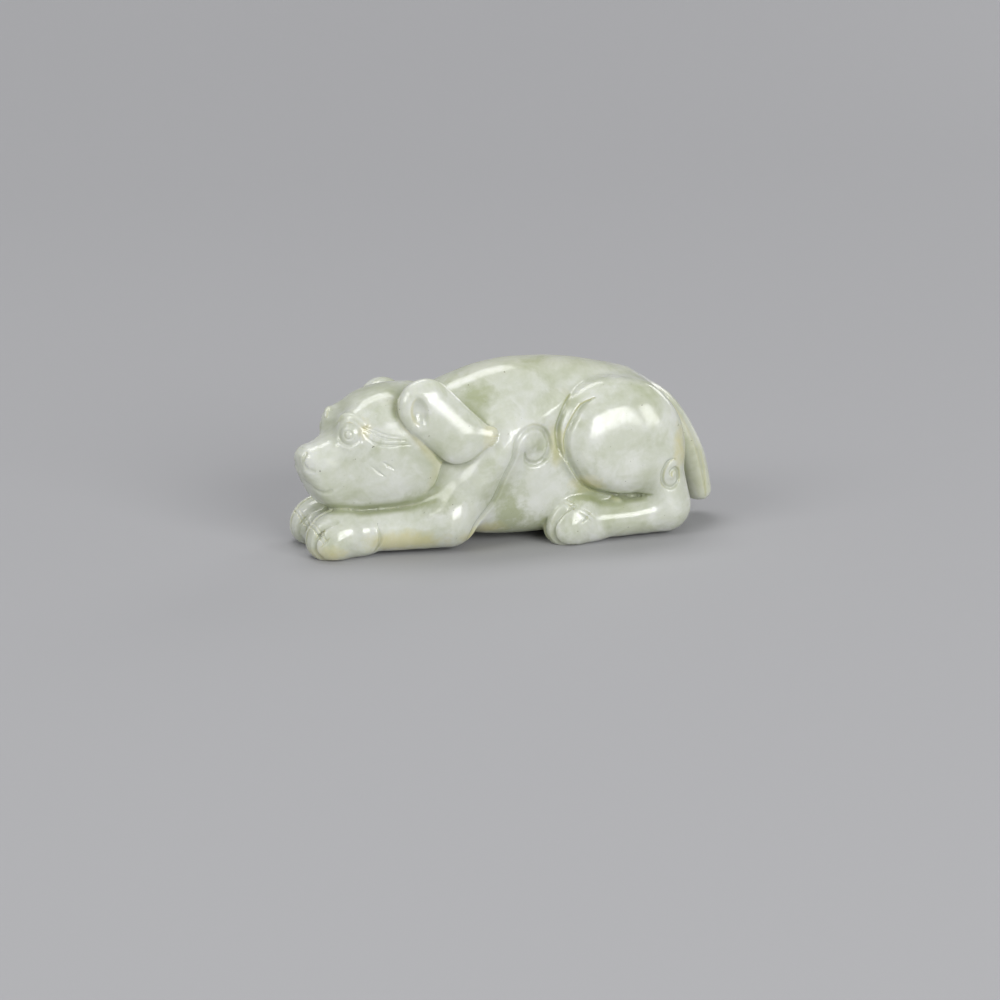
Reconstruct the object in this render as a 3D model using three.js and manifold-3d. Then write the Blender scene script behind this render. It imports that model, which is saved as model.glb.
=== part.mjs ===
// A crouching animal carved from one pebble of pale celadon nephrite. It lies with its head on its
// forelegs, its ears hang down, its haunches are gathered and its tail runs down the rump.
// The stone is one solid. Its surface is where a field of distances, made of rounded forms that
// are melted into each other and cut by ground lines, is nought.
// +Z up, the head towards -X, the flank that is seen towards -Y, the ground at Z = 0.

import * as THREE from "three";
import { mergeVertices } from "three/addons/utils/BufferGeometryUtils.js";
import Module from "manifold-3d";

// Driving sizes, mm

const LENGTH = 105.2; // from the forepaws to the tail
const HEIGHT = 42.8; // from the ground to the top of the back
const WIDTH = 38.8; // across the haunches

const HEAD_YAW = 9; // degrees that the head turns to the seen side
const HEAD_ROLL = 4; // degrees that it leans, seen side up
const LINE_WIDTH = 0.9; // half the width of a ground line
const LINE_DEPTH = 0.55; // how deep a ground line goes
const BUTTON_RADIUS = 2.6; // the raised middle of the shoulder's curl
const EYE_RADIUS = 2.1;
const FACET = 1.1; // the step of the net that the surface is first caught in
const FACETS = 9200; // triangles that are left of it
const GROUND_CUT = 0.9; // stone below the feet before they are ground flat

// The forms below are drawn in units: a block 105.2 long, 38.8 wide and 42.8 high holds the animal.
const UNIT = new THREE.Vector3(LENGTH / 105.2, WIDTH / 38.8, HEIGHT / 42.8);

// Joining and cutting

const { abs, sqrt, min, max } = Math;
const clamp = (v, lo, hi) => min(max(v, lo), hi);

function step(lo, hi, v) {
  const t = clamp((v - lo) / (hi - lo), 0, 1);
  return t * t * (3 - 2 * t);
}

// two forms melted together over a width k
function melt(a, b, k) {
  const h = max(k - abs(a - b), 0) / k;
  return min(a, b) - (h * h * k) / 4;
}

// what two forms share, its edge rounded over a width k
const share = (a, b, k) => -melt(-a, -b, k);

// the round-bottomed profile of a line ground into stone, 1 in the middle and 0 from the half width w
function line(d, w) {
  const t = max(1 - (d / w) ** 2, 0);
  return t * t;
}

// Forms: functions of x, y, z

function ellipsoid([cx, cy, cz], [rx, ry, rz]) {
  return (x, y, z) => {
    const a = (x - cx) / rx, b = (y - cy) / ry, c = (z - cz) / rz;
    const k0 = sqrt(a * a + b * b + c * c);
    const k1 = sqrt((a / rx) ** 2 + (b / ry) ** 2 + (c / rz) ** 2);
    return (k0 * (k0 - 1)) / max(k1, 1e-9);
  };
}

// an ellipsoid that is steeper at its edge and flatter on its outer side
function dome([rx, ry, rz], power) {
  return (x, y, z) => {
    const q = (((x / rx) ** 2 + (z / rz) ** 2) ** (power / 2) + abs(y / ry) ** power) ** (1 / power);
    const k0 = sqrt((x / rx) ** 2 + (y / ry) ** 2 + (z / rz) ** 2);
    const k1 = sqrt((x / rx ** 2) ** 2 + (y / ry ** 2) ** 2 + (z / rz ** 2) ** 2);
    return (q - 1) * min(k0 / max(k1, 1e-9), max(rx, rz));
  };
}

// a rod from a to b, each [x, y, z, radius]
function rod([ax, ay, az, ar], [bx, by, bz, br]) {
  const ux = bx - ax, uy = by - ay, uz = bz - az, uu = ux * ux + uy * uy + uz * uz;
  return (x, y, z) => {
    const px = x - ax, py = y - ay, pz = z - az;
    const t = clamp((px * ux + py * uy + pz * uz) / uu, 0, 1);
    const dx = px - t * ux, dy = py - t * uy, dz = pz - t * uz;
    return sqrt(dx * dx + dy * dy + dz * dz) - (ar + (br - ar) * t);
  };
}

// a limb along a smooth curve through marks [x, y, z, radius], with a few rods to each gap
function limb(marks, rods = 3) {
  const curve = new THREE.CatmullRomCurve3(
    marks.map(([x, y, z]) => new THREE.Vector3(x, y, z)), false, "catmullrom", 0.5);
  const count = rods * (marks.length - 1);
  const points = curve.getPoints(count).map(({ x, y, z }, i) => {
    const at = i / rods, mark = min(Math.floor(at), marks.length - 2);
    return [x, y, z, THREE.MathUtils.lerp(marks[mark][3], marks[mark + 1][3], at - mark)];
  });
  const parts = points.slice(1).map((end, i) => rod(points[i], end));
  return (x, y, z) => {
    let d = Infinity;
    for (const part of parts) d = min(d, part(x, y, z));
    return d;
  };
}

// the distance to an open line through marks [x, y, z], which thins out at its ends
const stroke = (marks, taper = 0) =>
  limb(marks.map((mark, i) => [...mark, i % (marks.length - 1) ? 0 : -taper]));

// how deep a line that is ground through the marks, [x, z] on the seen flank, goes in
function groundLine(marks, width, depth) {
  const path = stroke(marks.map(([x, z]) => [x, 0, z]), width);
  const low = [0, 1].map((c) => min(...marks.map((m) => m[c])) - 1 - width);
  const high = [0, 1].map((c) => max(...marks.map((m) => m[c])) + 1 + width);
  return (x, y, z) =>
    y < -1 && x > low[0] && x < high[0] && z > low[1] && z < high[1] ? depth * line(path(x, 0, z), width) : 0;
}

// one column of a table against its first, straight between the rows
function along(table, column, x) {
  if (x <= table[0][0]) return table[0][column];
  for (let i = 1; i < table.length; i++) {
    if (x <= table[i][0]) {
      const t = (x - table[i - 1][0]) / (table[i][0] - table[i - 1][0]);
      return table[i - 1][column] + (table[i][column] - table[i - 1][column]) * t;
    }
  }
  return table[table.length - 1][column];
}

// a form whose sections across X are rounded blocks; rows are [x, top, bottom, half width], and the
// widest line lies at a share of the height
function loft(rows, powerAbove, powerBelow, ease, widest = 0.5) {
  const first = rows[0][0], last = rows[rows.length - 1][0];
  const eased = (column, x) =>
    (along(rows, column, x - ease) + 2 * along(rows, column, x) + along(rows, column, x + ease)) / 4;
  return (x, y, z) => {
    const cx = clamp(x, first, last);
    const top = eased(1, cx), bottom = eased(2, cx);
    const half = max(eased(3, cx), 0.5), tall = max(top - bottom, 1);
    const up = z - bottom - widest * tall;
    const dz = up / (tall * (up > 0 ? 1 - widest : widest));
    const power = powerAbove + (powerBelow - powerAbove) * step(0, 0.5, -dz);
    const q = (abs(y / half) ** power + abs(dz) ** power) ** (1 / power);
    const d = (q - 1) * min(half, tall / 2);
    const over = abs(x - cx);
    return over > 0 ? sqrt(max(d, 0) ** 2 + over ** 2) : d;
  };
}

// a form drawn about its own origin, moved to a place and turned (degrees about X, Y, Z, Z last)
function placed([px, py, pz], [rx, ry, rz], form) {
  const e = turned(rx, ry, rz).elements;
  return (x, y, z) => {
    const u = x - px, v = y - py, w = z - pz;
    return form(
      e[0] * u + e[1] * v + e[2] * w, e[4] * u + e[5] * v + e[6] * w, e[8] * u + e[9] * v + e[10] * w);
  };
}

function turned(rx, ry, rz) {
  const rad = THREE.MathUtils.degToRad;
  return new THREE.Matrix4().makeRotationFromEuler(new THREE.Euler(rad(rx), rad(ry), rad(rz), "ZYX"));
}

// The trunk

const TRUNK = loft([
  [-26, 33.5, 10.0, 10.6], [-20, 36.8, 6.0, 12.6], [-14.6, 39.2, 3.2, 13.7], [-6.8, 41.7, 1.6, 14.5],
  [0.8, 42.8, 1.2, 15.0], [10.9, 42.6, 1.2, 15.0], [18.6, 41.6, 1.2, 14.6], [26.3, 39.8, 1.2, 14.0],
  [32, 37.2, 1.4, 13.0], [35.6, 34.2, 2.4, 11.6], [38.2, 30.4, 3.6, 9.6], [40.2, 26, 5, 8],
  [42, 22, 8, 6], [43, 18.5, 12.5, 3]], 2.2, 3.2, 2.2, 0.4);
const CHEST = rod([-4, 0, 16, 11], [-29, 0, 11.5, 7.5]);

const trunk = (x, y, z) => melt(TRUNK(x, y, z), CHEST(x, y, z), 3);

// Paws

// a rounded block with a ball in front and a heel behind
function pawForm([rx, ry, rz]) {
  const block = ellipsoid([0, 0, 0], [rx, ry, rz]);
  const ball = ellipsoid([-0.34 * rx, 0, -1.9], [5.2, 0.98 * ry, 4.4]);
  const heel = ellipsoid([0.62 * rx, 0, -2.4], [4.6, 0.86 * ry, 3.2]);
  return (x, y, z) => melt(melt(block(x, y, z), ball(x, y, z), 2), heel(x, y, z), 1.5);
}

// the three lines that part its four toes, over the knuckles and down the front
function toeLines(x, y, width) {
  let cut = 0;
  for (const toe of [-1, 0, 1]) {
    const d = abs(y - toe * 0.27 * width * (1 + 0.04 * (x + 7)));
    cut = max(cut, line(d, LINE_WIDTH) * step(0.5, 2.5, -x));
  }
  return cut;
}

function paw(at, size) {
  const form = pawForm(size);
  return placed(at, [0, 0, 0], (x, y, z) => form(x, y, z) + LINE_DEPTH * toeLines(x, y, 2 * size[1]));
}

// The legs of the seen side

const UPPER_ARM = rod([-3, -7.9, 26.5, 8.8], [-16.4, -9.8, 8.8, 7]);
const RIDGE = limb([
  [10, -11.9, 33.4, 1.7], [-1.2, -14.6, 27.2, 2], [-6.3, -15.1, 22.9, 2.1], [-10.8, -15.1, 17.1, 2.1]]);
const FOREARM = limb([[-17.8, -10.9, 7.2, 6.2], [-26, -9.8, 5.9, 5], [-37, -7.9, 5.5, 4.7]]);
const FOREPAW = paw([-42.6, -7.1, 5.3], [7.8, 6.3, 6]);

const THIGH_TURN = [-9, 12, 0];
const HAUNCH_POWER = 3.6; // how square the haunch is towards its edge
const THIGH_AT = [24.4, -9.2, 23.2], THIGH_SIZE = [15.2, 10.2, 12.9];
const COLLAR_AT = [23.2, -8.7, 24.2], COLLAR_SIZE = [15.8, 9, 14.2];
const THIGH = placed(THIGH_AT, THIGH_TURN, dome(THIGH_SIZE, HAUNCH_POWER));
const COLLAR = placed(COLLAR_AT, THIGH_TURN, dome(COLLAR_SIZE, HAUNCH_POWER));
// how far up and back on the haunch a point is: the dome's edge is crisp in front and below only
const HAUNCH_BACK = placed(THIGH_AT, THIGH_TURN, (x, y, z) => step(2, 14, x + 0.5 * z));
const HOCK = rod([34.6, -11, 17.5, 6.2], [36.4, -12.6, 7, 6.4]);
const SHANK = limb([[36, -12.8, 6.4, 5.9], [28, -13.6, 5.2, 4.6], [18, -13.6, 5, 4.5]]);
const HINDPAW = paw([13.6, -13.2, 5.4], [7.2, 5.3, 6.4]);

const KNOB = ellipsoid([23.4, -14.2, 9.2], [1.4, 1.3, 1.3]); // a bit of stone left under the thigh

// lines on the seen flank: the thigh's edge, the collar in front of it, the arm's rear edge, which
// winds up into the shoulder's curl, the curl on the hock, and the forepaw's rear edge
const FLANK_LINES = [
  groundLine([
    [17.5, 35], [14.4, 33.3], [12, 30.4], [10.2, 26.6], [10.3, 22.1], [12.2, 18], [15.4, 14.1], [20.5, 11.8],
    [27.5, 10.3], [31.5, 10.8]], 0.9, LINE_DEPTH),
  groundLine([[12.6, 35.4], [11, 34], [9.2, 30.6], [8.4, 27.4], [8.7, 23.6], [10.2, 20.2]], 0.8, 0.4),
  groundLine([
    [-14, 2.5], [-12.3, 6.4], [-7.8, 11.8], [-5.6, 17.2], [-3.3, 22.2], [-2.9, 25.6], [-1.4, 28.1], [1.8, 29.3],
    [4.9, 28.1], [6.4, 24.8], [5.3, 21.7], [3, 20.2], [0.6, 21], [-0.2, 23.4]], 1.1, 0.6),
  groundLine([
    [36.6, 19.6], [34.6, 19], [33.3, 16.4], [33.8, 13.6], [35.8, 12.4], [37.7, 13.6], [37.8, 15.9], [36.6, 17.2],
    [35.5, 16.3], [35.9, 15]], 0.75, 0.4),
  groundLine([[-35.2, 8], [-34.6, 4.6], [-35.6, 1.2]], 0.8, 0.45)];
const SHOULDER_BUTTON = [1.8, 25], HOCK_BUTTON = [35.9, 15.4]; // x, z

function legs(stone, x, y, z) {
  let d = melt(stone, UPPER_ARM(x, y, z), 1.8);
  d = melt(d, RIDGE(x, y, z), 2.6);
  d = melt(d, FOREARM(x, y, z), 2);
  d = melt(d, FOREPAW(x, y, z), 0.9);
  const k = 0.5 + 5 * HAUNCH_BACK(x, y, z);
  d = melt(d, COLLAR(x, y, z), k);
  d = melt(d, melt(THIGH(x, y, z), HOCK(x, y, z), 3.5), k);
  d = melt(d, SHANK(x, y, z), 0.8);
  d = melt(d, KNOB(x, y, z), 0.8);
  d = melt(d, HINDPAW(x, y, z), 0.8);
  for (const cut of FLANK_LINES) d += cut(x, y, z);
  const outer = step(6, 12, -y);
  const shoulder = sqrt((x - SHOULDER_BUTTON[0]) ** 2 + (z - SHOULDER_BUTTON[1]) ** 2);
  const hock = sqrt((x - HOCK_BUTTON[0]) ** 2 + (z - HOCK_BUTTON[1]) ** 2);
  return d - outer * (0.5 * line(shoulder, BUTTON_RADIUS) + 0.3 * line(hock, 0.46 * BUTTON_RADIUS));
}

// The tail

const TAIL_FLATTENED = 1.5; // its width over its thickness
const TAIL = limb([
  [34.5, 0, 34.2, 1.9], [40.2, 0, 29.6, 2.7], [44.6, 0, 23, 3.2], [47.9, 0, 15.6, 3.5], [49.9, 0, 7, 3.4]]);
const TAIL_END = 4.3; // its squared end over the ground
const TAIL_RIDGE = groundLine([[39.5, 32], [44.4, 26], [47.4, 20], [49.4, 13], [50.4, 6]], 1, 0.3);

function tail(x, y, z) {
  const grooves = line(abs(y + 0.3) - 1.7, 0.8) * step(34, 24, z) * step(4.5, 8, z);
  const d = TAIL(x, (y + 0.3) / TAIL_FLATTENED, z) + 0.4 * grooves + TAIL_RIDGE(x, y, z);
  return share(d, TAIL_END - z, 0.9);
}

// The head, about its own middle

const HEAD_AT = [-30, -0.5, 24.5];
const HEAD_TURN = [-HEAD_ROLL, 0, HEAD_YAW];

const SKULL = loft([
  [-21.6, -0.4, -3.6, 2.4], [-20.6, 1.1, -7.0, 4.2], [-18.8, 1.9, -10.4, 5.6], [-16.6, 2.6, -12.7, 6.5],
  [-14.4, 3.9, -13.8, 7.1], [-12.6, 5.6, -14.2, 7.8], [-10.8, 8.6, -14.4, 8.7], [-8.6, 11.2, -14.6, 9.7],
  [-5, 13, -14.8, 11.2], [0, 14.1, -15, 12.8], [5, 14.6, -15, 14.2], [10, 14.2, -14.6, 15.2]], 2.5, 2.7, 1.1);
// where the cheek ends behind: rows of [z, x], from under the jaw up to the ear
const CHEEK_END = [[-15, 2.6], [-12, 4.8], [-8.5, 7], [-3.7, 8.3], [0, 5.4], [5, 1.6], [8, 1], [11, 6]];
const CROWN = ellipsoid([5, 0, 2.2], [14.5, 11.4, 12]);
const NOSE = ellipsoid([-19.6, 0, -1], [2.2, 4.3, 2.6]);

// one side of the face, y below nought
const EYE = [-12.3, -7.5, 4.3];
const EYE_MOUND = ellipsoid([-9.8, -4.9, 4.9], [3.6, 3.4, 4.4]);
const BROW = stroke([[-13.2, -3.4, 7.6], [-11.9, -4.9, 8.7], [-10.2, -7.4, 8.2], [-8.6, -8.8, 6.6]]);
const LOWER_LID = stroke([[-13.9, -5.4, 2.2], [-12.2, -7.6, 1.2], [-9.9, -9, 2.3]]);
const JAW_RIM = stroke([[-0.6, -13.2, 7.6], [1.2, -13.3, 4.4], [4.3, -13.6, 0.2], [7.3, -13.6, -3.3]], 0.7);
const MOUTH = stroke([
  [-20.7, 0, -6.4], [-20.2, -2.1, -7.3], [-18.4, -4.6, -8.8], [-16.6, -6, -8.6]]);
const NOSTRIL = stroke([[-21, -2.8, 0.2], [-21.6, -2.5, -1.7], [-21.2, -3.3, -3.2], [-20, -4.5, -3.8]]);

function head(x, y, z) {
  const end = along(CHEEK_END, 1, z);
  let d = share(SKULL(x, y, z), 0.9 * (x - end), 1 + 8 * step(5, 11, z));
  d = melt(d, CROWN(x, y, z), 2);
  const side = -abs(y);
  d = melt(d, EYE_MOUND(x, side, z), 2.2);
  d = melt(d, NOSE(x, y, z), 1.2);
  const eye = sqrt((x - EYE[0]) ** 2 + (side - EYE[1]) ** 2 + (z - EYE[2]) ** 2);
  d += 0.25 * line(eye - 1.15 * EYE_RADIUS, 0.7) - 0.35 * line(eye, EYE_RADIUS);
  d -= 0.5 * line(BROW(x, side, z), 1.1) + 0.2 * line(LOWER_LID(x, side, z), 0.7);
  d -= 0.35 * line(JAW_RIM(x, y, z), 0.8);
  d += LINE_DEPTH * (line(MOUTH(x, side, z), LINE_WIDTH) + 0.8 * line(NOSTRIL(x, side, z), LINE_WIDTH));
  return d;
}

// The ears

const EAR_AT = [-17, -13.9, 30.5];
const EAR_LEAN = -8, EAR_SPREAD = -4; // degrees, its foot and its tip outwards
const EAR_FLATTENED = 2.3, EAR_BEDDED = 1.2; // its half width over its depth, outwards and into the neck
const EAR_LOBE = [-6.1, 1.2, 4.7, 6.7], EAR_FLAP = [1.2, 0.9, -2.4, 6.4], EAR_TIP = [8, -1.5, -2.8, 2.6];
const EAR_BODY = rod(EAR_LOBE, EAR_FLAP);
const EAR_POINT = rod([...EAR_FLAP.slice(0, 3), 5.7], EAR_TIP);
const EAR_HOLLOW = placed([-8.6, -2.5, 3.8], [0, -4, 0], ellipsoid([0, 0, 0], [1.9, 1.2, 3.7]));

const nearEar = placed(EAR_AT, [EAR_LEAN, 0, EAR_SPREAD], (x, y, z) => {
  const thin = y * (y < 0 ? EAR_FLATTENED : EAR_BEDDED);
  return share(melt(EAR_BODY(x, thin, z), EAR_POINT(x, thin, z), 1.5), -EAR_HOLLOW(x, y, z), 1.3);
});

// the other ear mirrors it in the head, a little lower and further forward
const FAR_EAR_SHIFT = [-1.2, -0.6, 3.2];
const headMatrix = turned(...HEAD_TURN).setPosition(...HEAD_AT);
const farEarMatrix = headMatrix.clone()
  .multiply(new THREE.Matrix4().makeTranslation(...FAR_EAR_SHIFT))
  .multiply(new THREE.Matrix4().makeScale(1, -1, 1))
  .multiply(headMatrix.clone().invert());

function farEar(x, y, z) {
  const e = farEarMatrix.elements;
  return nearEar(
    e[0] * x + e[4] * y + e[8] * z + e[12], e[1] * x + e[5] * y + e[9] * z + e[13],
    e[2] * x + e[6] * y + e[10] * z + e[14]);
}

// The whole stone

const placedHead = placed(HEAD_AT, HEAD_TURN, head);

function stone(x, y, z) {
  let d = trunk(x, y, z);
  d = legs(d, x, y, z); // seen side
  d = legs(d, x, -y, z); // the other side mirrors it
  d = melt(d, tail(x, y, z), 1);
  d = melt(d, placedHead(x, y, z), 0.8);
  d = melt(d, nearEar(x, y, z), 0.7);
  return melt(d, farEar(x, y, z), 0.7);
}

// Catching the surface

// A net of cubes is laid through the field and each cube is parted into six tetrahedra around its
// diagonal. A tetrahedron that the surface passes through gets one or two triangles, with a corner
// on each of its edges that the surface crosses, so that the skin is always closed.
const TETRAHEDRA = [[0, 1, 3, 7], [0, 3, 2, 7], [0, 2, 6, 7], [0, 6, 4, 7], [0, 4, 5, 7], [0, 5, 1, 7]];
// even orders of four corners, so that the facets' outer side stays outside
const ONE_APART = [[0, 1, 2, 3], [1, 0, 3, 2], [2, 0, 1, 3], [3, 0, 2, 1]];
const TWO_APART = [[0, 1, 2, 3], [0, 2, 3, 1], [0, 3, 1, 2], [1, 2, 0, 3], [1, 3, 2, 0], [2, 3, 0, 1]];

function catchSurface(field, low, high, cell) {
  const n = [0, 1, 2].map((i) => Math.ceil((high[i] - low[i]) / cell) + 1);
  const strides = [n[1] * n[2], n[2], 1];
  const value = new Float64Array(n[0] * n[1] * n[2]);
  for (let i = 0, at = 0; i < n[0]; i++)
    for (let j = 0; j < n[1]; j++)
      for (let k = 0; k < n[2]; k++, at++)
        value[at] = field(low[0] + i * cell, low[1] + j * cell, low[2] + k * cell) || 1e-9;

  const place = (at) => {
    const i = Math.floor(at / strides[0]), j = Math.floor((at % strides[0]) / strides[1]), k = at % strides[1];
    return [low[0] + i * cell, low[1] + j * cell, low[2] + k * cell];
  };
  const points = [], faces = [], known = new Map();
  const crossing = (a, b) => {
    const key = min(a, b) * value.length + max(a, b);
    if (!known.has(key)) {
      const t = clamp(value[a] / (value[a] - value[b]), 0.12, 0.88);
      const from = place(a), to = place(b);
      known.set(key, points.push(from.map((v, c) => v + (to[c] - v) * t)) - 1);
    }
    return known.get(key);
  };

  const corners = [0, 1, 2, 3, 4, 5, 6, 7].map((c) =>
    (c & 1) * strides[0] + ((c >> 1) & 1) * strides[1] + (c >> 2) * strides[2]);
  for (let i = 0; i < n[0] - 1; i++)
    for (let j = 0; j < n[1] - 1; j++)
      for (let k = 0; k < n[2] - 1; k++) {
        const at = i * strides[0] + j * strides[1] + k;
        const inside = corners.filter((c) => value[at + c] < 0).length;
        if (inside === 0 || inside === 8) continue;
        for (const tetrahedron of TETRAHEDRA) {
          const four = tetrahedron.map((c) => at + corners[c]);
          const within = four.map((c) => value[c] < 0);
          const count = within.filter(Boolean).length;
          if (count === 1 || count === 3) {
            const order = ONE_APART.find(([first]) => within[first] === (count === 1));
            const [p, q, r, s] = order.map((c) => four[c]);
            const facet = [crossing(p, q), crossing(p, r), crossing(p, s)];
            faces.push(count === 1 ? facet : facet.reverse());
          } else if (count === 2) {
            const order = TWO_APART.find(([u, v]) => within[u] && within[v]);
            const [p, q, r, s] = order.map((c) => four[c]);
            const ring = [crossing(p, r), crossing(p, s), crossing(q, s), crossing(q, r)];
            faces.push([ring[0], ring[1], ring[2]], [ring[0], ring[2], ring[3]]);
          }
        }
      }
  return { points, faces };
}

// moves each point along the field's slope until it lies on the surface
function settle(points, field, cell) {
  const e = 0.05;
  for (let pass = 0; pass < 3; pass++)
    for (const p of points) {
      const [x, y, z] = p;
      const slope = [
        field(x + e, y, z) - field(x - e, y, z), field(x, y + e, z) - field(x, y - e, z),
        field(x, y, z + e) - field(x, y, z - e)].map((s) => s / (2 * e));
      const steep = max(slope[0] ** 2 + slope[1] ** 2 + slope[2] ** 2, 0.05);
      const move = clamp(field(x, y, z) / steep, -0.5 * cell, 0.5 * cell);
      for (let c = 0; c < 3; c++) p[c] -= slope[c] * move;
    }
}

// Fewer, better placed facets

// Short edges are drawn together one at a time, always the one that changes the shape least. A point
// carries the planes of the facets it stands for as a symmetric 4 x 4 form of ten numbers.
function simplify({ points, faces }, target, weight) {
  const planes = points.map(() => new Float64Array(10));
  const around = points.map(() => new Set());
  const alive = faces.map(() => true);
  const normal = (a, b, c) => {
    const u = [b[0] - a[0], b[1] - a[1], b[2] - a[2]], v = [c[0] - a[0], c[1] - a[1], c[2] - a[2]];
    return [u[1] * v[2] - u[2] * v[1], u[2] * v[0] - u[0] * v[2], u[0] * v[1] - u[1] * v[0]];
  };
  faces.forEach((face, f) => {
    const [a, b, c] = face.map((i) => points[i]);
    const m = normal(a, b, c), area = sqrt(m[0] ** 2 + m[1] ** 2 + m[2] ** 2) || 1e-12;
    const [x, y, z] = m.map((v) => v / area), w = -(x * a[0] + y * a[1] + z * a[2]);
    const form = [x * x, x * y, x * z, x * w, y * y, y * z, y * w, z * z, z * w, w * w];
    const share = (area / 2) * weight(a);
    for (const i of face) {
      around[i].add(f);
      for (let t = 0; t < 10; t++) planes[i][t] += form[t] * share;
    }
  });

  const cost = (q, [x, y, z]) =>
    q[0] * x * x + 2 * q[1] * x * y + 2 * q[2] * x * z + 2 * q[3] * x + q[4] * y * y + 2 * q[5] * y * z
    + 2 * q[6] * y + q[7] * z * z + 2 * q[8] * z + q[9];

  function best(i, j) {
    const q = planes[i].map((v, t) => v + planes[j][t]);
    const a = points[i], b = points[j];
    const middle = [0, 1, 2].map((c) => (a[c] + b[c]) / 2);
    let choice = middle;
    const det = q[0] * (q[4] * q[7] - q[5] * q[5]) - q[1] * (q[1] * q[7] - q[5] * q[2])
      + q[2] * (q[1] * q[5] - q[4] * q[2]);
    if (abs(det) > 1e-4 * (q[0] + q[4] + q[7]) ** 3) {
      const solved = [
        -(q[3] * (q[4] * q[7] - q[5] * q[5]) - q[1] * (q[6] * q[7] - q[5] * q[8])
          + q[2] * (q[6] * q[5] - q[4] * q[8])) / det,
        -(q[0] * (q[6] * q[7] - q[8] * q[5]) - q[3] * (q[1] * q[7] - q[5] * q[2])
          + q[2] * (q[1] * q[8] - q[6] * q[2])) / det,
        -(q[0] * (q[4] * q[8] - q[5] * q[6]) - q[1] * (q[1] * q[8] - q[6] * q[2])
          + q[3] * (q[1] * q[5] - q[4] * q[2])) / det];
      const reach = solved.reduce((s, v, c) => s + (v - middle[c]) ** 2, 0);
      const edge = a.reduce((s, v, c) => s + (v - b[c]) ** 2, 0);
      if (reach < edge) choice = solved;
    }
    const edge = a.reduce((s, v, c) => s + (v - b[c]) ** 2, 0);
    return { cost: cost(q, choice) + 1e-5 * edge, to: choice };
  }

  // a heap of edges, cheapest on top; an edge whose ends have changed since is out of date
  const heap = [], stamp = new Int32Array(points.length);
  const swap = (i, j) => ([heap[i], heap[j]] = [heap[j], heap[i]]);
  function push(item) {
    let i = heap.push(item) - 1;
    while (i && heap[(i - 1) >> 1].cost > heap[i].cost) {
      swap(i, (i - 1) >> 1);
      i = (i - 1) >> 1;
    }
  }
  function pop() {
    const top = heap[0], last = heap.pop();
    if (!heap.length) return top;
    heap[0] = last;
    for (let i = 0; ;) {
      let small = i;
      for (const child of [2 * i + 1, 2 * i + 2])
        if (child < heap.length && heap[child].cost < heap[small].cost) small = child;
      if (small === i) return top;
      swap(i, small);
      i = small;
    }
  }
  const offer = (i, j) => push({ i, j, at: stamp[i] + stamp[j], ...best(i, j) });
  const neighbours = (i) => new Set([...around[i]].flatMap((f) => faces[f]).filter((v) => v !== i));
  points.forEach((_, i) => neighbours(i).forEach((j) => i < j && offer(i, j)));

  let left = faces.length;
  while (left > target && heap.length) {
    const { i, j, at, to } = pop();
    if (!around[i].size || !around[j].size || stamp[i] + stamp[j] !== at) continue;
    const near = neighbours(i), far = neighbours(j);
    if (!near.has(j) || [...near].filter((v) => far.has(v)).length !== 2) continue;
    const keeps = [i, j].every((v) => [...around[v]].every((f) => {
      const face = faces[f];
      if (face.includes(i) && face.includes(j)) return true;
      const before = normal(...face.map((w) => points[w]));
      const after = normal(...face.map((w) => (w === v ? to : points[w])));
      const dot = before[0] * after[0] + before[1] * after[1] + before[2] * after[2];
      const areas = [before, after].map((m) => sqrt(m[0] ** 2 + m[1] ** 2 + m[2] ** 2));
      const corners = face.map((w) => (w === v ? to : points[w]));
      const longest = max(...corners.map((p, c) =>
        corners[(c + 1) % 3].reduce((sum, q, t) => sum + (q - p[t]) ** 2, 0)));
      const size = areas[0] * areas[1];
      return (dot > 0.3 * size || size < 1e-9) && areas[1] > 0.06 * longest;
    }));
    if (!keeps) continue;
    for (const f of [...around[j]]) {
      if (faces[f].includes(i)) {
        faces[f].forEach((v) => around[v].delete(f));
        alive[f] = false;
        left--;
      } else {
        faces[f] = faces[f].map((v) => (v === j ? i : v));
        around[i].add(f);
      }
    }
    around[j].clear();
    points[i] = to;
    planes[i] = planes[i].map((v, t) => v + planes[j][t]);
    stamp[i] += 1 + stamp[j];
    neighbours(i).forEach((v) => offer(i, v));
  }
  return { points, faces: faces.filter((_, f) => alive[f]) };
}

// The solid

const wasm = await Module();
wasm.setup();

function toGeometry({ points, faces }) {
  const used = [...new Set(faces.flat())], place = new Map(used.map((v, i) => [v, i]));
  const geometry = new THREE.BufferGeometry();
  geometry.setAttribute("position", new THREE.Float32BufferAttribute(used.flatMap((v) => points[v]), 3));
  geometry.setIndex(faces.flat().map((v) => place.get(v)));
  return geometry;
}

function toSolid(geometry) {
  return new wasm.Manifold(new wasm.Mesh({
    numProp: 3,
    vertProperties: new Float32Array(geometry.attributes.position.array),
    triVerts: new Uint32Array(geometry.index.array),
  }));
}

function fromSolid(solid) {
  const { vertProperties, triVerts } = solid.getMesh();
  const geometry = new THREE.BufferGeometry();
  geometry.setAttribute("position", new THREE.Float32BufferAttribute(vertProperties, 3));
  geometry.setIndex(Array.from(triVerts));
  geometry.computeVertexNormals();
  return geometry;
}

// the face and the paws keep finer facets than the flanks
const weight = ([x]) => 1 + 3 * step(-22, -34, x);

const block = { low: [-56, -25, -GROUND_CUT], high: [56, 25, 46] };
const shaped = (x, y, z) => share(stone(x, y, z), -GROUND_CUT - z, 0.4);
const net = catchSurface(shaped, block.low.map((v) => v - 1.5 * FACET), block.high, FACET);
settle(net.points, shaped, FACET);
const carved = toGeometry(simplify(net, FACETS, weight)).scale(UNIT.x, UNIT.y, UNIT.z);

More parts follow.
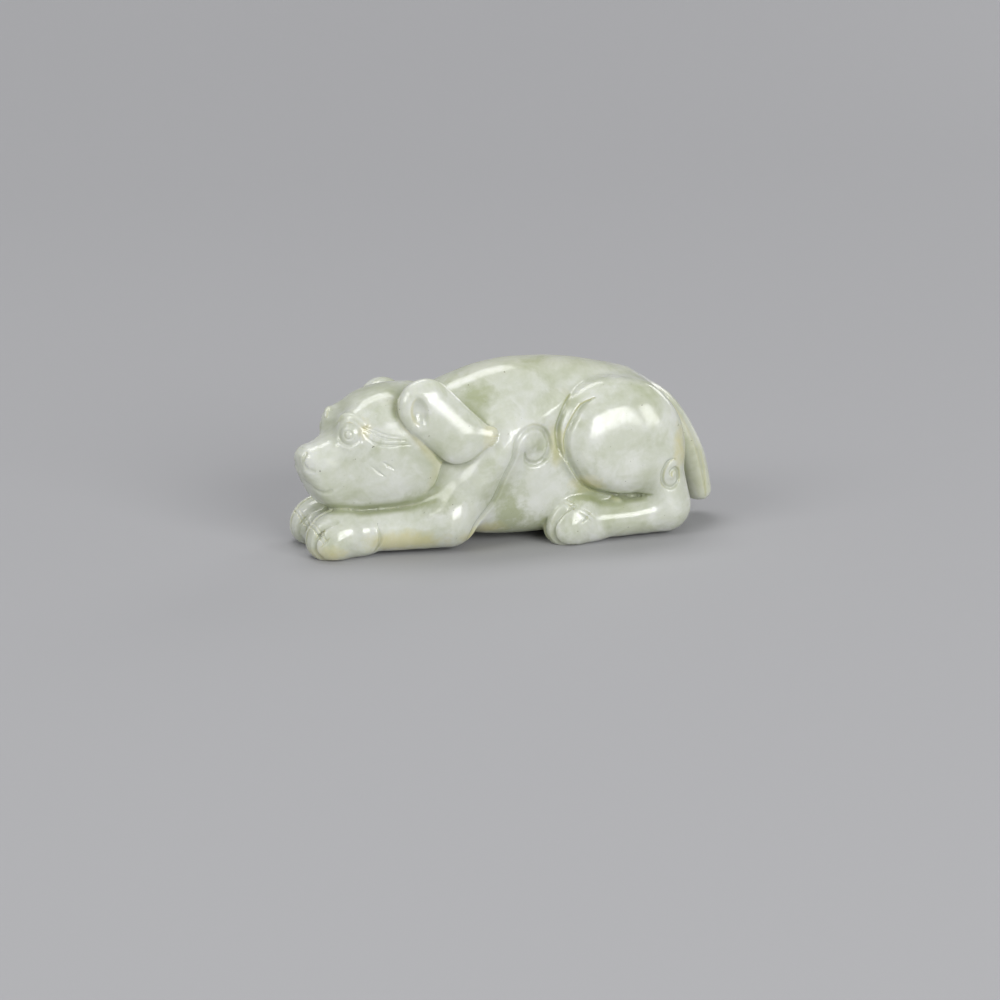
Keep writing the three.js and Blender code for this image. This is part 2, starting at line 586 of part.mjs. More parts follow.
// the feet are ground flat where the animal stands
const slab = new THREE.BoxGeometry(2 * LENGTH, 2 * WIDTH, HEIGHT).translate(0, 0, -HEIGHT / 2);
const ground = mergeVertices(slab.deleteAttribute("normal").deleteAttribute("uv"));
// stone fills any pocket closed in behind an ear
const filled = toSolid(carved).decompose().reduce((a, b) => (a.volume() > b.volume() ? a : b));
const bearGeometry = fromSolid(filled.subtract(toSolid(ground)));

// the origin lies on the ground under the middle of the animal
bearGeometry.computeBoundingBox();
const middle = bearGeometry.boundingBox.getCenter(new THREE.Vector3());
bearGeometry.translate(-middle.x, -middle.y, 0);

const jade = new THREE.MeshStandardMaterial({ name: "jade", color: 0xcdd1be, roughness: 0.2, metalness: 0 });
const bear = new THREE.Mesh(bearGeometry, jade);
bear.name = "bear";

const carving = new THREE.Group();
carving.add(bear);

export default carving;
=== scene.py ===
"""A crouching dog-like animal carved from one pebble of pale celadon nephrite, polished all over."""
import math

import bpy
import numpy as np
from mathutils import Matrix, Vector


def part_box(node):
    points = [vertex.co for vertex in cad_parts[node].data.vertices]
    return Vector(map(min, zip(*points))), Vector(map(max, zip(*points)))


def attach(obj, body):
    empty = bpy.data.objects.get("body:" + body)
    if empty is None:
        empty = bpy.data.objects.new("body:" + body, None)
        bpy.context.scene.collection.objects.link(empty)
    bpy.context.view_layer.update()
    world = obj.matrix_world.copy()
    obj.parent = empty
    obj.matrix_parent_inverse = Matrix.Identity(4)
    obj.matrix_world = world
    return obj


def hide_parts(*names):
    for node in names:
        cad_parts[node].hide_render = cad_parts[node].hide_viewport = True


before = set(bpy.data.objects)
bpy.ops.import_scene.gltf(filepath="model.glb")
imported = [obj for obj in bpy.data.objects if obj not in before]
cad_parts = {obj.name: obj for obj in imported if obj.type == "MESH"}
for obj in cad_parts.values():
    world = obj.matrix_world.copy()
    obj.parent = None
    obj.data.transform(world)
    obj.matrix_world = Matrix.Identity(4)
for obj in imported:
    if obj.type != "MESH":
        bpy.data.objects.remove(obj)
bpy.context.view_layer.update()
scene = bpy.context.scene

# The view: a long lens a little above the table, in front of the seen flank and towards the head.
# Lengths are in metres here.

LENS_MM = 100
SENSOR_MM = 36
VIEW_ANGLE = -19  # degrees from straight onto the flank, towards the head
VIEW_HEIGHT = 15  # degrees above the table
VIEW_DISTANCE = 0.666
VIEW_CENTRE = Vector((-0.0013, 0.0, 0.0078))

angle, height = math.radians(VIEW_ANGLE), math.radians(VIEW_HEIGHT)
aside, forward, up = math.sin(angle), -math.cos(angle), math.sin(height)
towards_eye = Vector((aside * math.cos(height), forward * math.cos(height), up))
bpy.ops.object.camera_add(location=VIEW_CENTRE + towards_eye * VIEW_DISTANCE)
camera = bpy.context.object
camera.rotation_euler = (-towards_eye).to_track_quat("-Z", "Y").to_euler()
camera.data.lens = LENS_MM
camera.data.sensor_width = SENSOR_MM
scene.camera = camera

# The table and its backdrop: one sheet of plain pale paper that sweeps up behind the carving.
# Soft boxes stand around it: in front, to the left, above and, weakest, behind to the right.


def linear(hex_colour):
    """an sRGB hex colour as the linear numbers that a shader takes"""
    parts = [int(hex_colour[i:i + 2], 16) / 255 for i in (1, 3, 5)]
    return [c / 12.92 if c <= 0.04045 else ((c + 0.055) / 1.055) ** 2.4 for c in parts] + [1.0]


def node(tree, kind, links=(), **settings):
    """adds a node; settings are its properties or, after in_, its inputs, and links join it to others"""
    new = tree.nodes.new(kind)
    for name, value in settings.items():
        if name.startswith("in_"):
            key = name[3:]
            new.inputs[int(key) if key.isdigit() else key.replace("_", " ")].default_value = value
        else:
            setattr(new, name, value)
    for source, target in links:
        tree.links.new(source, new.inputs[target])
    return new


PAPER_GREY = "#AEAEB0"
SWEEP = [  # y, z
    (-2.4, 0), (0.3, 0), (0.5, 0), (0.7, 0), (1.0, 0.04), (1.25, 0.16), (1.4, 0.4), (1.45, 0.8), (1.45, 2.4)]
SWEEP_HALF_WIDTH = 2.4

bpy.ops.object.select_all(action="DESELECT")
bpy.ops.mesh.primitive_plane_add(size=1)
backdrop = bpy.context.object
backdrop.name = "backdrop"
corners = [(side * SWEEP_HALF_WIDTH, y, z) for y, z in SWEEP for side in (-1, 1)]
strips = [(2 * i, 2 * i + 1, 2 * i + 3, 2 * i + 2) for i in range(len(SWEEP) - 1)]
backdrop.data.clear_geometry()
backdrop.data.from_pydata(corners, [], strips)
bend = backdrop.modifiers.new("bend", "SUBSURF")
bend.levels = bend.render_levels = 3
bpy.ops.object.modifier_apply(modifier=bend.name)
bpy.ops.object.shade_smooth()
paper = bpy.data.materials.new("grey_paper")
paper.use_nodes = True
paper_shader = paper.node_tree.nodes["Principled BSDF"]
paper_shader.inputs["Base Color"].default_value = linear(PAPER_GREY)
paper_shader.inputs["Roughness"].default_value = 0.9
backdrop.data.materials.append(paper)


def soft_box(name, place, aim, wide, high, watts):
    """a rectangular light at a place, in metres, turned to what it lights"""
    bpy.ops.object.light_add(type="AREA", location=place)
    lamp = bpy.context.object
    lamp.name = name
    lamp.rotation_euler = (Vector(aim) - Vector(place)).to_track_quat("-Z", "Y").to_euler()
    lamp.data.shape = "RECTANGLE"
    lamp.data.size, lamp.data.size_y = wide, high
    lamp.data.energy = watts


soft_box("front_box", (0.35, -1.45, 0.58), (0, 0, 0.02), 0.95, 0.7, 16)
soft_box("left_box", (-1.6, -0.7, 1.1), (0, 0, 0.02), 0.9, 0.9, 11)
soft_box("top_box", (-0.2, 0.7, 1.9), (0, 0, 0.02), 1.4, 0.8, 13)
soft_box("rear_box", (1.15, 0.8, 0.6), (0.04, 0, 0.02), 0.6, 0.5, 2.5)

ROOM_WHITE, ROOM_LIGHT = "#E8E9EC", 0.4
world = bpy.data.worlds.new("studio")
scene.world = world
world.use_nodes = True
room = world.node_tree.nodes["Background"]
room.inputs["Color"].default_value = linear(ROOM_WHITE)
room.inputs["Strength"].default_value = ROOM_LIGHT
scene.view_settings.view_transform = "Standard"

# The carving: one pebble of pale celadon nephrite, sawn and ground with abrasive on wheels and
# drills, then polished. Its forms melt into each other, and every line on it is ground in.
# The drawing is in millimetres on a block that reaches down to -51.9 in X, -20.0 in Y and 0 in Z.

DRAWN_LOW = np.array([-51.914, -20.012, 0.0])
MM = 0.001
stone_low = np.array(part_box("bear")[0]) / MM


def length(v):
    return np.sqrt((v * v).sum(-1))


def step(lo, hi, v):
    t = np.clip((v - lo) / (hi - lo), 0, 1)
    return t * t * (3 - 2 * t)


def melt(a, b, k):
    """two forms melted together over a width k"""
    h = np.maximum(k - np.abs(a - b), 0) / k
    return np.minimum(a, b) - h * h * k / 4


def share(a, b, k):
    """what two forms share, its edge rounded over a width k"""
    return -melt(-a, -b, k)


def line(d, w):
    """the round-bottomed profile of a ground line: 1 in its middle, 0 from the half width w"""
    t = np.maximum(1 - (d / w) ** 2, 0)
    return t * t


def ellipsoid(p, centre, radii):
    q = (p - centre) / radii
    near = length(q)
    return near * (near - 1) / np.maximum(length(q / radii), 1e-9)


def dome(p, radii, power):
    """an ellipsoid that is steeper at its edge and flatter on its outer side"""
    radii = np.array(radii)
    q = p / radii
    size = ((q[:, 0] ** 2 + q[:, 2] ** 2) ** (power / 2) + np.abs(q[:, 1]) ** power) ** (1 / power)
    return (size - 1) * np.minimum(length(q) / np.maximum(length(q / radii), 1e-9), max(radii[0], radii[2]))


def rod(p, a, b):
    """a rod between two marks, each x, y, z, radius"""
    a, b = np.array(a, float), np.array(b, float)
    run = (b - a)[:3]
    t = np.clip(((p - a[:3]) @ run) / (run @ run), 0, 1)
    return length(p - a[:3] - t[:, None] * run) - (a[3] + (b[3] - a[3]) * t)


def smooth_marks(marks, rods):
    """more marks along a smooth curve through the given ones"""
    marks = np.array(marks, float)
    ends = np.vstack([2 * marks[0] - marks[1], marks, 2 * marks[-1] - marks[-2]])
    run = []
    for i in range(1, len(ends) - 2):
        a, b, c, d = ends[i - 1:i + 3]
        for t in np.arange(rods) / rods:
            square, cube = 2 * a - 5 * b + 4 * c - d, 3 * b - a - 3 * c + d
            new = 0.5 * (2 * b + (c - a) * t + square * t * t + cube * t ** 3)
            new[3:] = b[3:] + (c[3:] - b[3:]) * t
            run.append(new)
    return np.array(run + [marks[-1]])


def limb(p, marks, rods=3):
    run = smooth_marks(marks, rods)
    return np.min([rod(p, a, b) for a, b in zip(run, run[1:])], axis=0)


def stroke(p, marks, rods=3, taper=0.0):
    """the distance to a line through marks x, y, z, which thins out at its ends, but not in its middle"""
    marks = [[*m, 0] for m in marks]
    if len(marks) == 2:
        marks.insert(1, [(a + b) / 2 for a, b in zip(*marks)])
    marks[0][3] = marks[-1][3] = -0.6 * taper
    return limb(p, marks, rods)


def ground_line(p, marks, width, depth, rods=3):
    """how deep a line that is ground through the marks, x and z on the seen flank, goes in"""
    low, high = np.min(marks, axis=0) - 1 - width, np.max(marks, axis=0) + 1 + width
    near = (p[:, 1] < -1) & ((p[:, ::2] > low) & (p[:, ::2] < high)).all(-1)
    cut = np.zeros(len(p))
    flat = p[near] * (1, 0, 1)
    cut[near] = depth * line(stroke(flat, [(x, 0, z) for x, z in marks], rods, width), width)
    return cut


def turn(rx=0, ry=0, rz=0):
    """a turn about X, then Y, then Z, in degrees"""
    angles = [math.radians(a) for a in (rx, ry, rz)]
    (cx, sx), (cy, sy), (cz, sz) = [(math.cos(a), math.sin(a)) for a in angles]
    about_x = np.array([[1, 0, 0], [0, cx, -sx], [0, sx, cx]])
    about_y = np.array([[cy, 0, sy], [0, 1, 0], [-sy, 0, cy]])
    about_z = np.array([[cz, -sz, 0], [sz, cz, 0], [0, 0, 1]])
    return about_z @ about_y @ about_x


def eased(x, rows, column, ease):
    xs, ys = [r[0] for r in rows], [r[column] for r in rows]
    return (np.interp(x - ease, xs, ys) + 2 * np.interp(x, xs, ys) + np.interp(x + ease, xs, ys)) / 4


def loft(p, rows, power_above, power_below, ease, widest=0.5):
    """rounded blocks strung along X; rows are x, top, bottom, half width"""
    x = np.clip(p[:, 0], rows[0][0], rows[-1][0])
    top, bottom, half = (eased(x, rows, column, ease) for column in (1, 2, 3))
    half, tall = np.maximum(half, 0.5), np.maximum(top - bottom, 1)
    up = p[:, 2] - bottom - widest * tall
    dz = up / (tall * np.where(up > 0, 1 - widest, widest))
    power = power_above + (power_below - power_above) * step(0, 0.5, -dz)
    size = (np.abs(p[:, 1] / half) ** power + np.abs(dz) ** power) ** (1 / power)
    d = (size - 1) * np.minimum(half, tall / 2)
    over = np.abs(p[:, 0] - x)
    return np.where(over > 0, np.sqrt(np.maximum(d, 0) ** 2 + over ** 2), d)


TRUNK = [
    (-26, 33.5, 10.0, 10.6), (-20, 36.8, 6.0, 12.6), (-14.6, 39.2, 3.2, 13.7), (-6.8, 41.7, 1.6, 14.5),
    (0.8, 42.8, 1.2, 15.0), (10.9, 42.6, 1.2, 15.0), (18.6, 41.6, 1.2, 14.6), (26.3, 39.8, 1.2, 14.0),
    (32, 37.2, 1.4, 13.0), (35.6, 34.2, 2.4, 11.6), (38.2, 30.4, 3.6, 9.6), (40.2, 26, 5, 8),
    (42, 22, 8, 6), (43, 18.5, 12.5, 3)]


def trunk(p):
    return melt(loft(p, TRUNK, 2.2, 3.2, 2.2, 0.4), rod(p, (-4, 0, 16, 11), (-29, 0, 11.5, 7.5)), 3)


def paw(p, at, size):
    """a rounded block with a ball in front and a heel behind, its toes parted by three lines"""
    q = p - at
    rx, ry, rz = size
    d = melt(ellipsoid(q, (0, 0, 0), size), ellipsoid(q, (-0.34 * rx, 0, -1.9), (5.2, 0.98 * ry, 4.4)), 2)
    d = melt(d, ellipsoid(q, (0.62 * rx, 0, -2.4), (4.6, 0.86 * ry, 3.2)), 1.5)
    cut = 0
    for toe in (-1, 0, 1):
        cut = np.maximum(cut, line(q[:, 1] - toe * 0.54 * ry * (1 + 0.04 * (q[:, 0] + 7)), TOE_LINE))
    return d + LINE_DEPTH * cut * step(0.5, 2.5, -q[:, 0])


TOE_LINE = 0.75  # half widths and depths of ground lines, mm
LINE_DEPTH = 0.55
THIGH_AT, THIGH_SIZE, THIGH_TURN = (24.4, -9.2, 23.2), (15.2, 10.2, 12.9), turn(rx=-9, ry=12)
COLLAR_AT, COLLAR_SIZE = (23.2, -8.7, 24.2), (15.8, 9, 14.2)
HAUNCH_POWER = 3.6
RIDGE = [(10, -11, 33.2, 2.4), (-1.2, -13.5, 27.2, 3), (-6.3, -14, 22.9, 3), (-10.8, -14.2, 17.1, 2.8)]
# lines on the seen flank, x and z
THIGH_EDGE = [
    (17.5, 35), (14.4, 33.3), (12, 30.4), (10.2, 26.6), (10.3, 22.1), (12.2, 18), (15.4, 14.1), (20.5, 11.8),
    (27.5, 10.3), (31.5, 10.8)]
COLLAR_EDGE = [(12.6, 35.4), (11, 34), (9.2, 30.6), (8.4, 27.4), (8.7, 23.6), (10.2, 20.2)]
ARM_EDGE = [
    (-14, 2.5), (-12.3, 6.4), (-7.8, 11.8), (-5.6, 17.2), (-3.3, 22.2), (-2.9, 25.6), (-1.4, 28.1),
    (1.8, 29.3), (4.9, 28.1), (6.4, 24.8), (5.3, 21.7), (3, 20.2), (0.6, 21), (-0.2, 23.4)]
HOCK_EDGE = [
    (36.6, 19.6), (34.6, 19), (33.3, 16.4), (33.8, 13.6), (35.8, 12.4), (37.7, 13.6), (37.8, 15.9),
    (36.6, 17.2), (35.5, 16.3), (35.9, 15)]
SHOULDER_BUTTON, HOCK_BUTTON = (1.8, 0, 25), (35.9, 0, 15.4)
PAW_STROKES = [
    [(-49.7, 8), (-48, 4.6)], [(-49, 8.6), (-47.2, 5.2)], [(-49.5, 5), (-47.3, 7.6)],
    [(-48.6, 3.8), (-46.4, 6.4)],
    [(12.6, 8.5), (15.9, 5.8)], [(13.4, 9.2), (16.7, 6.5)], [(12.9, 5.5), (16.1, 8.1)],
    [(9.8, 10.3), (11.9, 8.7)], [(10.6, 10.9), (12.6, 9.4)], [(10.3, 8.5), (12.2, 10.2)]]
HEEL_EDGE = [(-35.2, 8), (-34.6, 4.6), (-35.6, 1.2)]


def legs(d, p):
    """joins the seen side's legs to the stone"""
    d = melt(d, rod(p, (-3, -7.9, 26.5, 8.8), (-16.4, -9.8, 8.8, 7)), 1.8)
    d = melt(d, limb(p, RIDGE), 2.6)
    d = melt(d, limb(p, [(-17.8, -10.9, 7.2, 6.2), (-26, -9.8, 5.9, 5), (-37, -7.9, 5.5, 4.7)]), 2)
    d = melt(d, paw(p, (-42.6, -7.1, 5.3), (7.8, 6.3, 6)), 0.9)
    in_thigh = (p - THIGH_AT) @ THIGH_TURN
    k = 0.5 + 5 * step(2, 14, in_thigh[:, 0] + 0.5 * in_thigh[:, 2])
    d = melt(d, dome((p - COLLAR_AT) @ THIGH_TURN, COLLAR_SIZE, HAUNCH_POWER), k)
    hock = rod(p, (34.6, -11, 17.5, 6.2), (36.4, -12.6, 7, 6.4))
    d = melt(d, melt(dome(in_thigh, THIGH_SIZE, HAUNCH_POWER), hock, 3.5), k)
    d = melt(d, limb(p, [(36, -12.8, 6.4, 5.9), (28, -13.6, 5.2, 4.6), (18, -13.6, 5, 4.5)]), 0.8)
    d = melt(d, ellipsoid(p, (23.4, -14.2, 9.2), (1.4, 1.3, 1.3)), 0.8)
    d = melt(d, paw(p, (13.6, -13.2, 5.4), (7.2, 5.3, 6.4)), 0.8)
    d = d + ground_line(p, THIGH_EDGE, 0.9, 0.55) + ground_line(p, COLLAR_EDGE, 0.8, 0.4)
    d = d + ground_line(p, ARM_EDGE, 1.1, 0.6) + ground_line(p, HOCK_EDGE, 0.75, 0.4)
    d = d + ground_line(p, HEEL_EDGE, 0.8, 0.45)
    buttons = 0.5 * line(length(p * (1, 0, 1) - SHOULDER_BUTTON), 2.6) * step(6, 12, -p[:, 1])
    buttons += 0.3 * line(length(p * (1, 0, 1) - HOCK_BUTTON), 1.2) * step(6, 12, -p[:, 1])
    return d - buttons


TAIL_FLATTENED = 1.5  # its width over its thickness
TAIL = [
    (34.5, 0, 34.2, 1.9), (40.2, 0, 29.6, 2.7), (44.6, 0, 23, 3.2), (47.9, 0, 15.6, 3.5), (49.9, 0, 7, 3.4)]
TAIL_END = 4.3  # its squared end over the ground
TAIL_RIDGE = [(39.5, 32), (44.4, 26), (47.4, 20), (49.4, 13), (50.4, 6)]


def tail(p):
    y = p[:, 1] + 0.3
    z = p[:, 2]
    grooves = line(np.abs(y) - 1.7, 0.8) * step(34, 24, z) * step(4.5, 8, z)
    d = limb(np.stack([p[:, 0], y / TAIL_FLATTENED, z], -1), TAIL) + 0.4 * grooves
    return share(d + ground_line(p, TAIL_RIDGE, 1, 0.3), TAIL_END - z, 0.9)


HEAD_AT, HEAD_TURN = np.array([-30, -0.5, 24.5]), turn(rx=-4, rz=9)
SKULL = [
    (-21.6, -0.4, -3.6, 2.4), (-20.6, 1.1, -7.0, 4.2), (-18.8, 1.9, -10.4, 5.6), (-16.6, 2.6, -12.7, 6.5),
    (-14.4, 3.9, -13.8, 7.1), (-12.6, 5.6, -14.2, 7.8), (-10.8, 8.6, -14.4, 8.7), (-8.6, 11.2, -14.6, 9.7),
    (-5, 13, -14.8, 11.2), (0, 14.1, -15, 12.8), (5, 14.6, -15, 14.2), (10, 14.2, -14.6, 15.2)]
CHEEK_END = [(-15, 2.6), (-12, 4.8), (-8.5, 7), (-3.7, 8.3), (0, 5.4), (5, 1.6), (8, 1), (11, 6)]  # z, x
EYE, EYE_RADIUS = (-12.3, -7.5, 4.3), 2.1
BROW = [(-13.2, -3.4, 7.6), (-11.9, -4.9, 8.7), (-10.2, -7.4, 8.2), (-8.6, -8.8, 6.6)]
LOWER_LID = [(-13.9, -5.4, 2.2), (-12.2, -7.6, 1.2), (-9.9, -9, 2.3)]
MOUTH = [(-20.7, 0, -6.4), (-20.2, -2.1, -7.3), (-18.4, -4.6, -8.8), (-16.6, -6, -8.6)]
NOSTRIL = [(-21, -2.8, 0.2), (-21.6, -2.5, -1.7), (-21.2, -3.3, -3.2), (-20, -4.5, -3.8)]
CHEEK_HAIRS = [
    [(-9.2, -8.6, 6.4), (-6.6, -10, 5.0), (-4.3, -11.2, 3.9), (-1.5, -12.3, 3.4)],
    [(-9.2, -8.7, 5.9), (-6.6, -10, 4.2), (-4.3, -11.2, 3.0), (-0.2, -12.6, 2.4)],
    [(-9.2, -9, 4.6), (-7.4, -10, 2.5), (-4.5, -11.3, 1.6), (1.2, -13.2, 1.3)]]
CHEEK_STROKES = [
    [(-8, -9.9, -3.1), (-6.3, -10.5, -4.7), (-4.8, -11, -5.9)], [(-5.4, -11, -2.3), (-2.9, -11.7, -4.2)]]
CHEEK_FOLD = [(-10.8, -8.7, -4.9), (-9.5, -9.3, -2.4), (-8.2, -9.8, -1.6)]
JAW_RIM = [(-0.6, -13.2, 7.6), (1.2, -13.3, 4.4), (4.3, -13.6, 0.2), (7.3, -13.6, -3.3)]
UPPER_LID = [(-14.7, -4.4, 4.8), (-13.6, -5.7, 6.9), (-11.7, -7.5, 7.4), (-9.8, -8.9, 5.8)]
HAIR_LINE = 0.48


def head(h):
    """the head about its own middle"""
    z = h[:, 2]
    end = np.interp(z, [r[0] for r in CHEEK_END], [r[1] for r in CHEEK_END])
    d = share(loft(h, SKULL, 2.5, 2.7, 1.1), 0.9 * (h[:, 0] - end), 1 + 8 * step(5, 11, z))
    d = melt(d, ellipsoid(h, (5, 0, 2.2), (14.5, 11.4, 12)), 2)
    m = np.stack([h[:, 0], -np.abs(h[:, 1]), z], -1)
    d = melt(d, ellipsoid(m, (-9.8, -4.9, 4.9), (3.6, 3.4, 4.4)), 2.2)
    d = melt(d, ellipsoid(h, (-19.6, 0, -1), (2.2, 4.3, 2.6)), 1.2)
    eye = length(m - EYE)
    d = d + 0.25 * line(eye - 1.15 * EYE_RADIUS, 0.7) - 0.28 * line(eye, EYE_RADIUS)
    d = d - 0.5 * line(stroke(m, BROW), 1.1) - 0.2 * line(stroke(m, LOWER_LID), 0.7)
    d = d - 0.2 * line(stroke(m, UPPER_LID, 3, 0.5), 0.5)
    d = d - 0.35 * line(stroke(h, JAW_RIM, 3, 0.7), 0.8)
    d = d + LINE_DEPTH * (0.6 * line(stroke(m, MOUTH), 0.8) + 0.8 * line(stroke(m, NOSTRIL), 0.7))
    return d


# half widths and depths of the finest lines, mm
HAIR_DEPTH = 0.4
PAW_LINE, PAW_LINE_DEPTH = 0.45, 0.28
PUPIL_RADIUS, PUPIL_LINE, PUPIL_DEPTH = 0.95, 0.42, 0.22
FOLD_LINE, FOLD_DEPTH = 0.6, 0.15
FACE_END = -20  # x behind which no line of the face lies


def fine_lines(p, h, wider=1):
    """the depth of the finest lines: the pupil, the hairs behind the eye, the strokes on cheeks and paws"""
    cut = np.zeros(len(p))
    front = p[:, 0] < FACE_END
    m = h[front] * (1, 0, 1) - np.abs(h[front]) * (0, 1, 0)
    cut[front] = PUPIL_DEPTH * line(length(m - EYE) - PUPIL_RADIUS, PUPIL_LINE * wider)
    cut[front] += FOLD_DEPTH * line(stroke(m, CHEEK_FOLD, 3, FOLD_LINE), FOLD_LINE)
    for fine in CHEEK_HAIRS + CHEEK_STROKES:
        cut[front] += HAIR_DEPTH * line(stroke(m, fine, 3, HAIR_LINE), HAIR_LINE * wider)
    for fine in PAW_STROKES:
        cut = cut + ground_line(p, fine, PAW_LINE * wider, PAW_LINE_DEPTH, 1)
        cut = cut + ground_line(p * (1, -1, 1), fine, PAW_LINE * wider, PAW_LINE_DEPTH, 1)
    return cut


EAR_AT, EAR_TURN = np.array([-17, -13.9, 30.5]), turn(rx=-8, rz=-4)
EAR_FLATTENED, EAR_BEDDED = 2.3, 1.2  # its half width over its depth, outwards and into the neck
EAR_LOBE, EAR_FLAP, EAR_TIP = (-6.1, 1.2, 4.7, 6.7), (1.2, 0.9, -2.4, 6.4), (8, -1.5, -2.8, 2.6)
# the fringe at the ear's tip: its hairs, their first angle and pitch in degrees, and how far they reach
FRINGE_HAIRS, FRINGE_FROM, FRINGE_TURN = 8, -20, 2.7
FRINGE_INNER, FRINGE_OUTER = 6.6, 9.4  # from the flap's middle


def near_ear(p):
    q = (p - EAR_AT) @ EAR_TURN
    thin = q.copy()
    thin[:, 1] *= np.where(q[:, 1] < 0, EAR_FLATTENED, EAR_BEDDED)
    d = melt(rod(thin, EAR_LOBE, EAR_FLAP), rod(thin, (*EAR_FLAP[:3], 5.7), EAR_TIP), 1.5)
    hollow = ellipsoid((q - (-8.4, -2.7, 3.7)) @ turn(ry=-4), (0, 0, 0), (2.2, 2.1, 4))
    hair_at = np.degrees(np.arctan2(q[:, 2] - EAR_FLAP[2], q[:, 0] - EAR_FLAP[0])) - FRINGE_FROM
    out = np.hypot(q[:, 2] - EAR_FLAP[2], q[:, 0] - EAR_FLAP[0])
    nearest = np.clip(np.round(hair_at / FRINGE_TURN), 0, FRINGE_HAIRS - 1)
    aside = np.radians(hair_at - nearest * FRINGE_TURN) * out
    fringe = 0.3 * line(aside, 0.2) * step(FRINGE_INNER, FRINGE_INNER + 0.8, out) * step(0, 1, -q[:, 1])
    return share(d, -hollow, 0.9) + np.where(out < FRINGE_OUTER + 1, fringe, 0)


FAR_EAR_SHIFT = (-0.4, -0.7, 2.7)


def far_ear(h):
    """mirrors the near ear in the head"""
    h = h * (1, -1, 1) + FAR_EAR_SHIFT
    return near_ear(h @ HEAD_TURN.T + HEAD_AT)


def stone(p):
    """how far points lie outside the stone, mm"""
    d = legs(trunk(p), p)
    d = legs(d, p * (1, -1, 1))
    d = melt(d, tail(p), 1)
    h = (p - HEAD_AT) @ HEAD_TURN
    face = head(h)
    d = melt(d, face, 0.8)
    d = melt(d, near_ear(p), 0.7)
    d = melt(d, far_ear(h), 0.7)
    return share(d + fine_lines(p, h), -p[:, 2], 0.35)


SKIN_MM = 0.62  # the net that takes the carving's surface
SLOPE_MM = 0.03


def slope(p, d):
    """the direction away from the stone, times its steepness"""
    return np.stack([(stone(p + e) - d) / SLOPE_MM for e in np.eye(3) * SLOPE_MM], -1)


def settle(p, passes):
    """moves points along the slope until they lie on the surface"""
    for _ in range(passes):
        d = stone(p)
        g = slope(p, d)
        move = np.clip(d / np.maximum((g * g).sum(-1), 0.05), -SKIN_MM, SKIN_MM)
        p = p - g * move[:, None]
    return p


def drawn_points(mesh):
    places = np.empty(len(mesh.vertices) * 3, np.float32)
    mesh.vertices.foreach_get("co", places)
    return places.reshape(-1, 3).astype(float) / MM - stone_low + DRAWN_LOW


def put_points(mesh, p):
    """puts the vertices at drawn points, none of them outside the solid that the stone is cut from"""
    low, high = np.array(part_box("bear"))
    places = np.clip((p - DRAWN_LOW + stone_low) * MM, low, high)
    mesh.vertices.foreach_set("co", places.astype(np.float32).ravel())
    mesh.update()


bpy.ops.object.select_all(action="DESELECT")
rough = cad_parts["bear"]
carving = rough.copy()
carving.data = rough.data.copy()
carving.name = "jade_animal"
carving.parent = None
scene.collection.objects.link(carving)
carving.select_set(True)
bpy.context.view_layer.objects.active = carving
bpy.ops.object.mode_set(mode="EDIT")
bpy.ops.mesh.select_all(action="SELECT")
bpy.ops.mesh.remove_doubles(threshold=1e-6)
bpy.ops.object.mode_set(mode="OBJECT")
carving.data.remesh_voxel_size = SKIN_MM * MM
bpy.ops.object.voxel_remesh()
stone_mesh = carving.data

put_points(stone_mesh, settle(drawn_points(stone_mesh), 2))
bpy.ops.object.mode_set(mode="EDIT")
bpy.ops.mesh.select_all(action="SELECT")
bpy.ops.mesh.vertices_smooth(factor=0.5, repeat=2)
bpy.ops.object.mode_set(mode="OBJECT")
drawn = settle(drawn_points(stone_mesh), 1)
put_points(stone_mesh, drawn)

PARTED_FROM = (19, 40)  # degrees, first and second time
LINE_MARGIN, LINE_FELT = 2.5, 0.1  # how much wider than a fine line its net is parted, from what depth, mm
# where the surface bends sharply between two neighbours, its facets are parted, and parted again
# along the finest lines
for bend in PARTED_FROM:
    facing = slope(drawn, stone(drawn))
    facing /= np.maximum(length(facing), 1e-9)[:, None]
    ends = np.empty(len(stone_mesh.edges) * 2, np.int32)
    stone_mesh.edges.foreach_get("vertices", ends)
    ends = ends.reshape(-1, 2)
    sharp = ends[(facing[ends[:, 0]] * facing[ends[:, 1]]).sum(-1) < math.cos(math.radians(bend))]
    chosen = np.zeros(len(stone_mesh.vertices), bool)
    chosen[sharp.ravel()] = True
    chosen |= fine_lines(drawn, (drawn - HEAD_AT) @ HEAD_TURN, LINE_MARGIN) > LINE_FELT
    bpy.ops.object.mode_set(mode="EDIT")
    bpy.ops.mesh.select_mode(type="VERT")
    bpy.ops.mesh.select_all(action="DESELECT")
    bpy.ops.object.mode_set(mode="OBJECT")
    stone_mesh.vertices.foreach_set("select", chosen)
    bpy.ops.object.mode_set(mode="EDIT")
    bpy.ops.mesh.subdivide(number_cuts=1)
    bpy.ops.mesh.vertices_smooth(factor=0.4, repeat=1)
    bpy.ops.object.mode_set(mode="OBJECT")
    drawn = settle(drawn_points(stone_mesh), 1)
    put_points(stone_mesh, drawn)
drawn = settle(drawn, 1)
drawn[:, 2] = np.maximum(drawn[:, 2], 0)

# how hollow and how thin the stone is at each point, for the painted shade, darker green, in its hollows
# and the painted glow, yellower, on its thin edges
away = slope(drawn, stone(drawn))
away /= np.maximum(length(away), 1e-9)[:, None]
HOLLOW_REACH, THIN_REACH = 2.2, 3.0
hollow = 1 - np.clip(stone(drawn + away * HOLLOW_REACH) / HOLLOW_REACH, 0, 1)
thin = 1 - np.clip(-stone(drawn - away * THIN_REACH) / THIN_REACH, 0, 1)
for name, values in (("hollow", hollow), ("thin", thin)):
    stone_mesh.attributes.new(name, "FLOAT", "POINT").data.foreach_set("value", values.astype(np.float32))

put_points(stone_mesh, drawn)
bpy.ops.object.shade_smooth()
